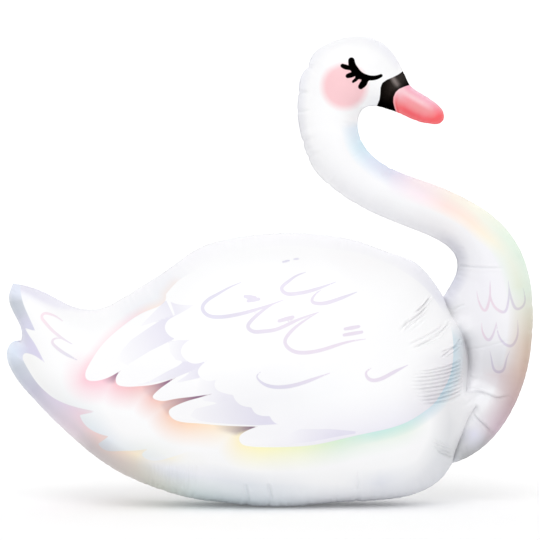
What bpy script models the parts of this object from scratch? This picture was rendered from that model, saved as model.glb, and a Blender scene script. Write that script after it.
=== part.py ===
"""A swan foil balloon that stands on its keel.

Two sheets of film are welded to each other round the swan's outline and along two lines where the body
meets the breast. The solid is that outline blown up: thin along every weld, round in the neck, and
flatter than round in the wide body. Metres, +Z up, the bill towards +X, the welded edge in the plane
Y = 0, and the origin on the ground under the middle of the length.
"""

import bpy
import numpy as np
from mathutils import Vector
from mathutils.geometry import delaunay_2d_cdt

# Driving sizes, in metres
LENGTH = 0.788
HEIGHT = 0.703
BODY_THICKNESS = 0.295
WELD_THICKNESS = 0.0012
KEEL_FLAT_SINK = 0.006

# The film, as a printed white sheet
FILM_COLOUR = (0.93, 0.93, 0.95, 1.0)
FILM_ROUGHNESS = 0.38

# Facets: their number along the length, the points of a curve that they are read from, the spacing of
# the points inside, and the rows beside each weld
FACETS_ALONG_LENGTH = 66
POINTS_PER_KNOT = 40
INNER_SPACING_IN_FACETS = 1.95
WELD_ROWS = 4
FIRST_ROW_IN_FACETS = 0.12

# The swan's side view, whose own length and height stand for LENGTH and HEIGHT. Each stretch runs from
# one corner of the outline to the next, as a smooth curve through its knots: units to the right of the
# tail, and units above the ground, which the keel dips below. The outline runs counter-clockwise.
TAIL_UPPER_LOBE = [(9, 332), (4, 320), (3, 306), (9, 289), (18, 272), (22, 257), (21, 246)]
TAIL_LOWER_LOBE_AND_KEEL = [
    (21, 246), (8, 244), (0, 231), (3, 209), (32, 167), (64, 133), (109, 91), (154, 57), (214, 28),
    (289, 7), (324, 3), (402, -6), (484, 2), (574, 8), (634, 26), (658, 47), (667, 62),
]
BREAST_AND_NECK_FRONT = [
    (667, 62), (684, 68), (709, 83), (738, 112), (759, 146), (779, 200), (788, 268), (785, 329),
    (769, 382), (739, 423), (694, 455), (634, 482), (572, 506), (541, 530), (527, 557), (526, 577),
    (535, 594), (554, 598),
]
BILL = [
    (554, 598), (583, 589), (611, 577), (636, 571), (652, 574), (655, 585), (646, 599), (620, 617),
    (604, 629), (597, 643), (593, 651),
]
CROWN = [(593, 651), (579, 676), (558, 695), (527, 703), (484, 693), (457, 673), (451, 657)]
NAPE = [(451, 657), (440, 641), (437, 620)]
NECK_BACK = [
    (437, 620), (435, 591), (443, 544), (460, 503), (490, 473), (544, 440), (604, 415), (649, 395),
    (671, 375), (675, 357), (668, 335), (654, 312),
]
BACK = [
    (654, 312), (634, 341), (610, 364), (579, 376), (526, 395), (473, 405), (403, 407), (340, 400),
    (288, 385), (244, 355), (184, 317), (141, 295), (109, 294), (64, 314), (32, 327), (9, 332),
]
OUTLINE = [
    TAIL_UPPER_LOBE, TAIL_LOWER_LOBE_AND_KEEL, BREAST_AND_NECK_FRONT, BILL, CROWN, NAPE, NECK_BACK, BACK,
]

# The welds between the body and the breast. Gas passes through the gap between their inner ends.
UPPER_WELD = [(654, 312), (666, 283), (684, 247), (691, 202), (688, 173)]
LOWER_WELD = [(667, 62), (671, 79), (682, 109), (690, 133), (699, 149)]
WELDS = [UPPER_WELD, LOWER_WELD]


def clear_scene():
    for item in list(bpy.data.objects):
        bpy.data.objects.remove(item, do_unlink=True)


def new_collection(name):
    collection = bpy.data.collections.new(name)
    bpy.context.scene.collection.children.link(collection)
    return collection


def film_material():
    material = bpy.data.materials.new("film")
    material.use_nodes = True
    shader = material.node_tree.nodes["Principled BSDF"]
    shader.inputs["Base Color"].default_value = FILM_COLOUR
    shader.inputs["Roughness"].default_value = FILM_ROUGHNESS
    shader.inputs["Metallic"].default_value = 0.0
    return material


def second_derivatives(places, values):
    """Those of the natural cubic spline through the values, which bends least and is straight at its ends."""
    gaps = np.diff(places)
    count = len(places)
    system = np.eye(count)
    right = np.zeros_like(values)
    for i in range(1, count - 1):
        system[i, i - 1 : i + 2] = gaps[i - 1], 2 * (gaps[i - 1] + gaps[i]), gaps[i]
        slope_after = (values[i + 1] - values[i]) / gaps[i]
        slope_before = (values[i] - values[i - 1]) / gaps[i - 1]
        right[i] = 6 * (slope_after - slope_before)
    return np.linalg.solve(system, right)


def smooth_curve(knots):
    """Close points on a smooth curve through the knots, in the drawing's units."""
    values = np.array(knots, float)
    places = np.concatenate([[0.0], np.cumsum(np.linalg.norm(np.diff(values, axis=0), axis=1))])
    bends = second_derivatives(places, values)
    fine = np.linspace(0, places[-1], POINTS_PER_KNOT * len(places))
    piece = np.clip(np.searchsorted(places, fine, side="right") - 1, 0, len(places) - 2)
    gap = (places[piece + 1] - places[piece])[:, None]
    after = (fine - places[piece])[:, None] / gap
    before = 1 - after
    curve = before * values[piece] + after * values[piece + 1]
    curve += gap**2 / 6 * ((before**3 - before) * bends[piece] + (after**3 - after) * bends[piece + 1])
    return curve


def to_metres(drawn):
    """Drawn points in metres: X from the middle of the length, and the keel's dip at its own depth."""
    whole = np.concatenate([smooth_curve(stretch) for stretch in OUTLINE])
    left, bottom = whole.min(axis=0)
    right, top = whole.max(axis=0)
    x = LENGTH * ((drawn[:, 0] - left) / (right - left) - 0.5)
    above = HEIGHT * drawn[:, 1] / top
    below = -KEEL_FLAT_SINK * drawn[:, 1] / bottom
    return np.column_stack([x, np.where(drawn[:, 1] > 0, above, below)])


def smooth_run(knots, spacing):
    """Points a spacing apart, in metres, on a smooth curve through the knots, both ends included."""
    curve = to_metres(smooth_curve(knots))
    lengths = np.concatenate([[0.0], np.cumsum(np.linalg.norm(np.diff(curve, axis=0), axis=1))])
    steps = max(2, round(lengths[-1] / spacing))
    wanted = np.linspace(0, lengths[-1], steps + 1)
    return np.column_stack([np.interp(wanted, lengths, curve[:, axis]) for axis in (0, 1)])


def outline_points(spacing):
    return np.concatenate([smooth_run(stretch, spacing)[:-1] for stretch in OUTLINE])


def normals_of(run, closed):
    """Unit normals to the left of a run of points."""
    if closed:
        ahead = np.roll(run, -1, axis=0) - np.roll(run, 1, axis=0)
    else:
        ahead = np.gradient(run, axis=0)
    left = np.column_stack([-ahead[:, 1], ahead[:, 0]])
    return left / np.linalg.norm(left, axis=1)[:, None]


def inside(points, outline):
    """Which points the outline goes round, by counting the edges to the right of each."""
    starts = outline[None]
    ends = np.roll(outline, -1, axis=0)[None]
    x = points[:, None, 0]
    z = points[:, None, 1]
    spans = (starts[..., 1] > z) != (ends[..., 1] > z)
    rise = np.where(spans, ends[..., 1] - starts[..., 1], 1.0)
    crossing = starts[..., 0] + (z - starts[..., 1]) * (ends[..., 0] - starts[..., 0]) / rise
    return (spans & (x < crossing)).sum(axis=1) % 2 == 1


def distances(points, seam):
    return np.array([np.min(np.linalg.norm(seam - point, axis=1)) for point in points])


def rows_beside_welds(outline, welds, facet, seam):
    """Rows of points beside every weld, close together near it, where the film curves most."""
    tip_turns = np.radians([-60, -20, 20, 60])
    rows = []
    for row in range(1, WELD_ROWS + 1):
        reach = FIRST_ROW_IN_FACETS * facet * row**2
        found = [outline + normals_of(outline, True) * reach]
        for weld in welds:
            normals = normals_of(weld, False)
            found += [weld + normals * reach, weld - normals * reach]
            ahead = weld[-1] - weld[-2]
            heading = np.arctan2(ahead[1], ahead[0])
            around = np.column_stack([np.cos(heading + tip_turns), np.sin(heading + tip_turns)])
            found.append(weld[-1] + around * reach)
        found = np.concatenate(found)
        found = found[inside(found, outline)]
        rows.append(found[distances(found, seam) > 0.9 * reach])
    return spread(np.concatenate(rows), seam)


def spread(points, seam):
    """The points, without those that crowd a neighbour that came before them."""
    kept = []
    for point, reach in zip(points, distances(points, seam)):
        room = 0.5 * min(reach, LENGTH / FACETS_ALONG_LENGTH)
        if not kept or np.min(np.linalg.norm(np.array(kept) - point, axis=1)) > room:
            kept.append(point)
    return np.array(kept)


def inner_grid(outline, facet, seam):
    """Points in a triangular grid over what the rows beside the welds leave."""
    spacing = INNER_SPACING_IN_FACETS * facet
    columns = np.arange(outline[:, 0].min(), outline[:, 0].max(), spacing)
    rows = np.arange(outline[:, 1].min(), outline[:, 1].max(), spacing * np.sqrt(0.75))
    grid = np.array([(x + spacing / 2 * (i % 2), z) for i, z in enumerate(rows) for x in columns])
    grid = grid[inside(grid, outline)]
    last_row = FIRST_ROW_IN_FACETS * facet * WELD_ROWS**2
    return grid[distances(grid, seam) > last_row + 0.4 * spacing]


def flat_sheet():
    """The flat sheet as points, triangles, and which points are on a weld inside it or on its edge."""
    facet = LENGTH / FACETS_ALONG_LENGTH
    outline = outline_points(facet)
    welds = [smooth_run(knots, facet) for knots in WELDS]
    seam = np.concatenate([outline_points(facet / 6)] + [smooth_run(knots, facet / 6) for knots in WELDS])
    rows = rows_beside_welds(outline, welds, facet, seam)
    grid = inner_grid(outline, facet, seam)
    points = [outline]
    edges = [(i, (i + 1) % len(outline)) for i in range(len(outline))]
    count = len(outline)
    for weld in welds:
        corner = int(np.argmin(np.linalg.norm(outline - weld[0], axis=1)))
        chain = [corner] + list(range(count, count + len(weld) - 1))
        edges += list(zip(chain[:-1], chain[1:]))
        points.append(weld[1:])
        count += len(weld) - 1
    on_weld = np.arange(len(outline), count)
    points = np.concatenate(points + [rows, grid])
    found = delaunay_2d_cdt([Vector(point) for point in points], edges, [], 1, 1e-7)
    if len(found[0]) != len(points):
        raise ValueError("two points of the sheet fell together")
    return points, np.array(found[2]), np.arange(len(outline)), on_weld


def blown_up(points, triangles, fixed):
    """Half the thickness at each point, as a film held along its welds takes it.

    The square of the half thickness follows the height of a membrane under even pressure, which makes a
    long tube exactly round.
    """
    count = len(points)
    stiffness = np.zeros((count, count))
    load = np.zeros(count)
    for corner in range(3):
        a, b, c = (triangles[:, (corner + turn) % 3] for turn in range(3))
        along_b = points[b] - points[a]
        along_c = points[c] - points[a]
        double_area = np.abs(along_b[:, 0] * along_c[:, 1] - along_b[:, 1] * along_c[:, 0])
        share = 0.5 * np.sum(along_b * along_c, axis=1) / double_area
        np.add.at(stiffness, (b, c), -share)
        np.add.at(stiffness, (c, b), -share)
        np.add.at(stiffness, (b, b), share)
        np.add.at(stiffness, (c, c), share)
        np.add.at(load, a, double_area / 6)
    free = np.setdiff1d(np.arange(count), fixed)
    height = np.zeros(count)
    height[free] = np.linalg.solve(stiffness[np.ix_(free, free)], load[free])
    round_half = np.sqrt(2 * np.maximum(height, 0))
    fattest = round_half.max()
    flattening = 1 - BODY_THICKNESS / 2 / fattest
    return round_half * (1 - flattening * (round_half / fattest) ** 2)


def envelope(collection, material):
    """The sealed film envelope: one half of it, blown up from the flat sheet, and its mirror image."""
    points, triangles, rim, on_weld = flat_sheet()
    half = blown_up(points, triangles, np.concatenate([rim, on_weld]))
    half = np.maximum(half, WELD_THICKNESS / 2)
    half[rim] = 0.0
    mesh = bpy.data.meshes.new("swan_balloon")
    placed = [(x, -y, z) for (x, z), y in zip(points, half)]
    mesh.from_pydata(placed, [], triangles.tolist())
    mesh.materials.append(material)
    mesh.shade_smooth()
    balloon = bpy.data.objects.new("swan_balloon", mesh)
    collection.objects.link(balloon)
    mirror = balloon.modifiers.new("other_sheet", "MIRROR")
    mirror.use_axis = (False, True, False)
    mirror.merge_threshold = 0.0001
    return balloon


def press_keel_flat(balloon, collection):
    """Cuts off what the keel would reach below the ground, which leaves the flat it stands on."""
    depth = 10 * KEEL_FLAT_SINK
    bpy.ops.mesh.primitive_cube_add(size=1, location=(0, 0, -depth / 2))
    ground = bpy.context.object
    ground.name = "ground_cutter"
    ground.scale = (2 * LENGTH, 2 * BODY_THICKNESS, depth)
    ground.hide_render = True
    ground.display_type = "WIRE"
    for other in ground.users_collection:
        other.objects.unlink(ground)
    collection.objects.link(ground)
    cut = balloon.modifiers.new("keel_flat", "BOOLEAN")
    cut.operation = "DIFFERENCE"
    cut.object = ground


clear_scene()
parts = new_collection("swan_foil_balloon")
cutters = new_collection("cutters")
swan = envelope(parts, film_material())
press_keel_flat(swan, cutters)
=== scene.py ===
"""The looks of a swan foil balloon: two sheets of printed film, welded at their edge and blown up.

The film's flat drawing is in millimetres: a runs from the tail towards the breast, b from the ground up.
What is traced from the photograph is in its pixels, which from_photo turns into that drawing.
"""

import math

import bpy
import numpy as np
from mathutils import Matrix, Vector
from mathutils.geometry import delaunay_2d_cdt
from mathutils.kdtree import KDTree


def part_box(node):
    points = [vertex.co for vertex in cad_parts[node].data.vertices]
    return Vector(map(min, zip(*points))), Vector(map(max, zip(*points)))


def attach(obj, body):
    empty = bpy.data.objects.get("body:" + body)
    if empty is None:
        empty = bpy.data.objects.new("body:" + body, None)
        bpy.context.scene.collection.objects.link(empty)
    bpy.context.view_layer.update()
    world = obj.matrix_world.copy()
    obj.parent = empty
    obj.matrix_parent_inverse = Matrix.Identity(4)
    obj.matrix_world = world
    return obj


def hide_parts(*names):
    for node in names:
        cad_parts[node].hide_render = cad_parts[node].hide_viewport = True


NODE = "swan_balloon"

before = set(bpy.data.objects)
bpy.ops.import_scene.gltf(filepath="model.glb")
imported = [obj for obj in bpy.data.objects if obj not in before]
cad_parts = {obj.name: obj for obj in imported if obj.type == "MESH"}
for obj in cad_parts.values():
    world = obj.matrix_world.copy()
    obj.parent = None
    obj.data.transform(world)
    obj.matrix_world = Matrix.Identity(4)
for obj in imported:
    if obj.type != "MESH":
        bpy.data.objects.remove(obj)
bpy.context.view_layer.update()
node_low, node_high = [np.array(corner, float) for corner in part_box(NODE)]

# The photograph, whose pixels are squares of the plane that the welded edge lies in
PIXEL_MM = 1.5
TAIL_COLUMN = 7.3
GROUND_ROW = 504.6
CENTRE = (270.0, 270.0)
FRAME_PIXELS = 540

# The camera stands this far from the plane of the welded edge.
CAMERA_DISTANCE = 3.2
SENSOR_MM = 36.0

# The drawing's own length, and what its millimetre is in the frame
DRAWN_LENGTH = 788.0
MM = (node_high[0] - node_low[0]) / DRAWN_LENGTH
FATTEST_HALF_MM = (node_high[1] - node_low[1]) / 2 / MM

# The weld margin is the flat band outside the blown-up film. The inner welds are lines without one.
WELD_MARGIN_MM = 1.2
FLAT_FILM_HALF_MM = 0.12
ON_WELD_MM = 0.3
ON_OUTLINE_MM = 0.01
IN_MARGIN_MM = WELD_MARGIN_MM + 0.03
GROUND_SOFTNESS_MM = 2.0

# Spacing of the mesh: along the weld, inside, in the finest zone, beside lines, and of a first coarse one
ALONG_WELD_MM = 1.7
INSIDE_MM = 2.6
FINE_MM = 0.86
BESIDE_LINES_MM = 1.3
COARSE_MM = 6.0

# Rows of points beside the welds, the fan of points round a weld's tip, and how much room points keep
ROWS_BESIDE_WELD = 11
ROW_GROWTH_MM = 0.08
FIRST_ROW_MM = 0.6
ROW_CROWDING = 0.55
TIP_CROWDING = 0.3
TIP_TURNS = np.radians(np.linspace(-75, 75, 9))
LAST_ROW_MM = WELD_MARGIN_MM + ROW_GROWTH_MM * ROWS_BESIDE_WELD**2
GRID_ROOM = 0.6
LINES_ROOM = 1.2
WELD_SAMPLES_MM = 0.6

# Steps along printed edges, lines and washes in pixels, and how far from an edge the depth is told
EDGE_STEP = 1.5
LINE_STEP = 1.2
WASH_STEP = 6.0
EDGE_REACH_MM = 8.0
WING_REACH_MM = 60.0
PANEL_REACH_MM = 12.0

# The membrane's solver: its most steps, and the share of the first energy at which it stops
MEMBRANE_STEPS = 4000
MEMBRANE_PRECISION = 1e-9

# The outline, as in the solid: smooth stretches between corners, counter-clockwise
OUTLINE = [
    [(9, 332), (4, 320), (3, 306), (9, 289), (18, 272), (22, 257), (21, 246)],
    [
        (21, 246), (8, 244), (0, 231), (3, 209), (32, 167), (64, 133), (109, 91), (154, 57), (214, 28),
        (289, 7), (324, 3), (402, -6), (484, 2), (574, 8), (634, 26), (658, 47), (667, 62),
    ],
    [
        (667, 62), (684, 68), (709, 83), (738, 112), (759, 146), (779, 200), (788, 268), (785, 329),
        (769, 382), (739, 423), (694, 455), (634, 482), (572, 506), (541, 530), (527, 557), (526, 577),
        (535, 594), (554, 598),
    ],
    [
        (554, 598), (583, 589), (611, 577), (636, 571), (652, 574), (655, 585), (646, 599), (620, 617),
        (604, 629), (597, 643), (593, 651),
    ],
    [(593, 651), (579, 676), (558, 695), (527, 703), (484, 693), (457, 673), (451, 657)],
    [(451, 657), (440, 641), (437, 620)],
    [
        (437, 620), (435, 591), (443, 544), (460, 503), (490, 473), (544, 440), (604, 415), (649, 395),
        (671, 375), (675, 357), (668, 335), (654, 312),
    ],
    [
        (654, 312), (634, 341), (610, 364), (579, 376), (526, 395), (473, 405), (403, 407), (340, 400),
        (288, 385), (244, 355), (184, 317), (141, 295), (109, 294), (64, 314), (32, 327), (9, 332),
    ],
]
INNER_WELDS = [
    [(654, 312), (666, 283), (684, 247), (690, 202), (685, 173)],
    [(667, 62), (671, 79), (682, 109), (690, 133), (699, 149)],
]

# How high the film lies over each inner weld, in millimetres, at even steps along it, and where that fades
WELD_LIFTS = [[0, 4, 9, 33, 33, 20, 15, 14, 19, 31, 40], [3, 5, 9, 16, 25, 36]]
WELD_LIFT_REACH_MM = 24.0
LIFT_FADES_MM = 20.0

# Where the mesh is finest: two corners, in the photograph's pixels
FINE_ZONE = [(404, 293), (466, 408)]

# Creases of the film: path in pixels from its sharp end, then depth and half width in millimetres
CREASES = [
    ([(469, 391.2), (480, 392), (488, 394.5), (494, 397), (499, 398), (506, 396.5), (513, 399)], 3.3, 1.5),
    ([(472.5, 413), (477, 419), (483, 424), (488, 429), (492, 432), (496, 433)], 3.3, 1.5),
    ([(468, 386), (476, 387), (487, 389)], 0.7, 1.5),
    ([(464, 447), (467, 451)], 0.8, 1.5),
    ([(470, 377), (476.4, 378.7)], 0.9, 1.5),
    ([(469, 349.5), (475.5, 348.5), (489.4, 345.7), (503, 342), (512, 340)], 0.8, 1.5),
    ([(453, 310.5), (457.9, 307.2), (466, 304.5)], 1.2, 1.6),
    ([(459, 266), (470, 267), (485, 268), (505, 268)], 1.7, 1.4),
    ([(457, 247.5), (464, 249)], 0.8, 1.5),
    ([(357, 127), (352, 124), (340, 122.5)], 0.8, 1.5),
    ([(360, 153), (352, 158)], 0.5, 1.5),
    ([(386, 169), (382, 177)], 0.8, 1.5),
    ([(376, 40), (377, 47)], 0.7, 1.5),
    ([(298, 112), (310, 110)], 0.8, 1.5),
    ([(299, 92.5), (308, 92)], 0.8, 1.5),
    ([(306, 67), (315, 66.5)], 0.8, 1.5),
    ([(463, 396), (458, 398), (450, 401), (440, 402.5)], 0.9, 1.6),
    ([(430, 297.5), (422.7, 306.4), (415, 313)], 4.2, 1.4),
    ([(426.5, 307), (415.5, 317.1), (405.7, 324.3), (400, 332)], 3.4, 1.4),
    ([(424.5, 314.5), (413, 323.4), (402, 332.5)], 1.5, 1.4),
    ([(425, 320), (408.4, 333.2)], 0.7, 1.3),
    ([(449, 322.8), (443.2, 329.6), (436, 335), (424, 340)], 2.7, 1.4),
    ([(441.6, 326.6), (428.9, 335), (412.9, 343), (405.5, 347)], 2.1, 1.4),
    ([(440.5, 334.5), (432.5, 339), (424, 343), (413, 348.5)], 3.6, 1.4),
    ([(438, 338.6), (430.7, 342.6), (418, 347)], 1.2, 1.3),
    ([(460, 340), (454.8, 346.2), (446.8, 350.2), (440, 353.5)], 2.6, 1.3),
    ([(459.6, 344.2), (453, 348.8), (445, 354.2), (440, 358)], 3.2, 1.3),
    ([(459.3, 347.4), (453.5, 352.5), (445, 357.3)], 1.2, 1.3),
    ([(245.5, 485), (247, 493), (249.6, 503)], 1.7, 1.7),
    ([(268.4, 485), (270.5, 493), (272.6, 503)], 1.7, 1.7),
    ([(357.4, 489), (358, 482), (357, 470)], 1.4, 1.7),
    ([(451, 456.5), (443, 453.6), (434, 449)], 2.8, 1.3),
    ([(450, 452.6), (441, 450), (431, 446)], 1.7, 1.3),
    ([(450, 449), (441, 446.3), (432, 442.4)], 1.5, 1.3),
    ([(449, 446), (441, 443), (433, 439)], 1.1, 1.3),
]

# How strong a crease is at shares of its length, and the low lip on each side of it
CREASE_SHARES = [0, 0.08, 0.75, 1]
CREASE_STRENGTHS = [0.6, 1, 0.85, 0]
CREASE_LIP = 0.4
CREASE_LIP_PLACE = 2.1

# The ribs beside the upper weld, evenly spaced: right ends, how far their middles sag, and left ends
RIBS_RIGHT = [(460, 361.2), (460.8, 394.6)]
RIBS_SAG = 2.1
RIBS_LEFT = [(416, 372.5), (409.5, 379), (409, 385.5), (413.5, 391.5), (416, 398), (421, 404.5)]
RIB_COUNT = 10
RIB_DEPTH = 2.3
RIB_DEPTH_SPREAD = (0.8, 1.15)
RIB_HALF_WIDTH = 1.4

# The fine upright folds over the keel: their tops from left to right, count, length and depth
KEEL_FOLDS = [(150, 466), (196, 466)]
KEEL_FOLD_COUNT = 13
KEEL_FOLD_LENGTH = 21
KEEL_FOLD_DEPTH = 0.75
KEEL_FOLD_HALF_WIDTH = 1.6

# Puckers across the outer weld, in millimetres: those with two values are drawn at random between them
PUCKER_SEED = 7
PUCKER_GAP = (7.0, 22.0)
PUCKER_LENGTH = (9.0, 30.0)
PUCKER_DEPTH = (0.12, 0.5)
PUCKER_HALF_WIDTH = (1.5, 3.0)
PUCKER_SLANT = (-0.25, 0.25)
PUCKER_LIP = 0.35
PUCKER_LIP_PLACE = 2.0
PUCKER_NICK = 0.9
NICK_REACH_MM = 7.0

# Where the puckers lie closer and reach further: seen pixels with a radius, and how much stronger
PUCKER_PLACES = [(175, 492, 45, 1.6), (130, 295, 50, 1.2), (445, 480, 30, 1.4), (290, 502, 80, 1.1)]

# Single nicks of the welded edge: seen pixel, depth of the furrow, half its width, and its length
RIM_NICKS = [
    (302, 142, 1.6, 2.6, 16), (309, 157, 1.5, 2.6, 16), (330, 183, 1.6, 2.8, 18), (299, 112, 1.2, 2.0, 18),
    (298, 93, 1.3, 2.0, 16), (307, 67, 1.3, 2.0, 14), (376, 40, 1.0, 2.2, 12), (531, 304, 1.2, 2.0, 12),
    (531, 331, 0.9, 2.0, 12), (356, 205, 0.9, 2.4, 14), (342, 192, 0.9, 2.2, 12), (247, 503, 1.2, 2.6, 26),
    (269, 505, 1.2, 2.6, 30), (357, 503, 1.2, 2.6, 40), (388, 171, 0.9, 2.0, 12), (360, 140, 0.7, 2.0, 12),
]

# Gentle waves of the weld and lumps of the film: height, seed, range of their lengths, and how many add up
WELD_WAVE_MM = 0.7
WELD_WAVES = (5, (22, 60), 5)
WELD_WAVE_REACH_MM = 9.0
LUMP_MM = 0.55
LUMPS = (3, (60, 110), 6)
LUMPS_START_MM = 6.0
LUMPS_GROW_MM = 25.0
RELIEF_GROWS_MM = 2.5
SHEETS_APART_MM = 0.1

# Colours of the print, and of painted shade and highlights where marked: red, green and blue from 0 to 255
WHITE = (253, 253, 254)
LILAC = (231, 220, 246)
PINK = (253, 228, 234)
PEACH = (254, 231, 219)
MINT = (223, 243, 222)
OLIVE = (208, 203, 177)
SALMON = (194, 157, 139)
ROSE = (186, 153, 159)
# A mauve darker than the print's, which also paints the shade at the breast's lower end
MAUVE_WITH_PAINTED_SHADE = (158, 155, 162)
LAVENDER = (238, 236, 246)
# Painted shade at the breast's lowest end, by the lower weld
PAINTED_SHADE_GREY = (149, 151, 149)
PEACH_YELLOW = (255, 252, 236)
LIME = (234, 249, 231)
PEACH_BROWN = (196, 164, 134)
ROSE_GLOW = (252, 202, 215)
SALMON_GLOW = (245, 194, 197)
APRICOT_GLOW = (244, 201, 188)
ORANGE_GLOW = (255, 219, 188)
AMBER_GLOW = (253, 238, 212)
YELLOW_GLOW = (255, 250, 196)
LIME_GLOW = (242, 247, 206)
GREEN_GLOW = (214, 238, 213)
TEAL_GLOW = (200, 235, 229)
SKY_GLOW = (204, 224, 234)
CUSP_SHADE = (132, 92, 128)
BROWN_SHADE = (132, 106, 132)
BLUSH = (250, 203, 208)
BLACK_INK = (2, 1, 1)
BILL_CORAL = (255, 94, 101)
BILL_PINK = (253, 193, 213)
# The colour of the bill's painted highlights
BILL_HIGHLIGHT_COLOUR = (254, 214, 219)

# Tints that the film's colour is multiplied by
FEATHER_SHADE = (214, 209, 233)
LINE_TINT = (226, 223, 238)
PINK_LINE_TINT = (250, 232, 239)
PURPLE_LINE_TINT = (236, 229, 241)

# The wing: stretches between the tips and notches of its feathers, in the photograph's pixels
WING = [
    [
        (166, 294), (178, 281), (195, 271), (216, 261), (242, 252), (268, 247), (287, 245.5), (312, 247),
        (340, 250), (361, 253.6), (382, 261), (404, 272), (428, 291), (449, 322),
    ],
    [
        (449, 322), (452.5, 335), (453.4, 347.5), (452.5, 365), (449, 378.5), (442, 392), (435, 402.6),
        (425, 411), (408, 421.5), (390.5, 428), (365, 433.6), (339, 439.6), (313, 445), (287, 447),
        (264, 447.2), (248.4, 446.2), (240.7, 443), (239.2, 437.7), (245.3, 431.6), (257.6, 426.5),
    ],
    [
        (257.6, 426.5), (236, 426.2), (213, 424.7), (195, 423.2), (179.4, 421.5), (171, 417),
        (168.7, 411.7), (175.4, 405.8), (190, 400.2), (201, 397.2), (211.6, 393.9),
    ],
    [
        (211.6, 393.9), (192, 396.8), (172, 399.5), (158, 400.4), (152.6, 397), (154.9, 393.3),
        (164, 385.7), (175.6, 377.6),
    ],
    [
        (175.6, 377.6), (164, 381.8), (152, 384.9), (136.6, 386.4), (122.8, 386.4), (116.7, 383.8),
        (115.9, 378), (120.5, 370.6),
    ],
    [
        (120.5, 370.6), (110.5, 376.5), (99.8, 380.3), (92.9, 381), (86.5, 379), (85.3, 375), (87.6, 367.3),
        (92.9, 358), (101.3, 346), (113.6, 333.6), (129, 321.3), (146, 311.4), (166, 298), (166, 294),
    ],
]

# The small feathers over them: everything right of these scalloped edges is free of their shade
COVERTS = [
    [(179, 280), (170, 287), (165.7, 294.5), (168, 299.5), (175, 303.5), (185, 305), (195, 305)],
    [
        (195, 305), (176.4, 315.2), (167.2, 321.3), (164.9, 327.5), (168.7, 335), (178, 339.7), (187, 340),
        (192, 339),
    ],
    [(192, 339), (184, 344.3), (181, 352), (184.8, 359), (193.2, 363.5), (201, 362.7), (208, 359.8)],
    [(208, 359.8), (201, 365.8), (197.8, 372), (201, 378), (208.5, 381), (220, 378.2)],
    [(220, 378.2), (214.7, 382.6), (215.4, 388), (222.3, 392.6), (233, 395)],
    [(233, 395), (236, 401), (242.2, 405.6), (251.4, 407.4)],
    [(251.4, 407.4), (254.5, 412.5), (260.6, 415.5), (269.8, 416)],
    [(269.8, 416), (272, 420), (276, 423.6)],
    [
        (276, 423.6), (290, 427), (330, 424), (400, 400), (440, 330), (380, 266), (300, 249), (220, 264),
        (179, 280),
    ],
]

# The white panel of the body, whose feather tips end before the tail's and the keel's coloured strip
PANEL = [
    [(20.7, 292), (22.7, 302), (28, 315), (35.3, 331)],
    [(35.3, 331), (24.9, 328)],
    [(24.9, 328), (28.6, 334.7), (33.2, 341.3), (39, 351.7), (44.9, 363)],
    [
        (44.9, 363), (41, 359.8), (35.7, 356.2), (29, 353.6), (24, 353.7), (22.6, 357), (24, 362),
        (28.2, 369.5), (35.7, 381.1), (43.1, 389.4), (53, 397.5), (69, 405), (96.5, 411.5),
    ],
    [(96.5, 411.5), (79.5, 415)],
    [(79.5, 415), (83, 422), (96, 432.5), (108.5, 436.5)],
    [(108.5, 436.5), (98, 444)],
    [(98, 444), (103, 449), (120, 451), (135, 450.5), (150, 448.5)],
    [(150, 448.5), (142, 455), (146, 458.6), (165, 459), (188, 451.7)],
    [(188, 451.7), (240, 452), (300, 452)],
    [(300, 452), (300, 220)],
    [(300, 220), (20, 270)],
    [(20, 270), (20.7, 292)],
]

# Shade under the feathers: corners, the strong place with its strength, and where it has faded out
FEATHER_SHADES = [
    ([(166, 300), (173.5, 316), (139, 327)], (172, 310), 0.42, (132, 330)),
    ([(170, 300), (196, 304), (176, 318)], (174, 309), 0.4, (202, 304)),
    (
        [
            (176, 315), (165, 317.5), (150, 327), (131, 340), (122, 350), (117, 360), (127, 365),
            (137, 359), (150, 351), (174, 339), (180, 325),
        ],
        (170, 332), 0.56, (117, 362),
    ),
    ([(168, 342), (190, 338), (190, 352), (186, 362), (176, 360), (170, 352)], (184, 350), 0.3, (164, 350)),
    (
        [
            (212, 359), (200, 367), (190, 371.5), (177, 377), (172, 379), (150, 383.5), (133, 386),
            (150, 381), (165, 372.5), (178, 366), (184, 361), (194, 360),
        ],
        (188, 368), 0.56, (126, 389),
    ),
    (
        [(203, 366), (203, 377), (190, 380), (174, 383.5), (185, 376.5), (193, 370)],
        (198, 374), 0.5, (168, 385),
    ),
    (
        [
            (200, 378), (211, 379), (222, 377), (220, 384), (224, 390), (236, 393), (240, 400), (222, 403),
            (204, 401), (196, 392),
        ],
        (226, 394), 0.34, (194, 390),
    ),
    (
        [
            (230, 398), (246, 402), (256, 408), (264, 413), (274, 416), (280, 424), (257, 425.3),
            (235, 424.5), (212, 422.5), (200, 421), (190, 416), (195, 409), (215, 404),
        ],
        (266, 420), 0.6, (180, 413),
    ),
    (
        [(212, 421.5), (226, 416), (244, 411), (262, 414), (278, 424), (257, 425)],
        (262, 420), 0.5, (216, 420),
    ),
    (
        [(262, 443.5), (285, 436), (300, 429), (330, 429), (364, 432), (335, 437), (310, 442), (290, 444)],
        (338, 434), 0.36, (286, 440),
    ),
]

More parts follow.
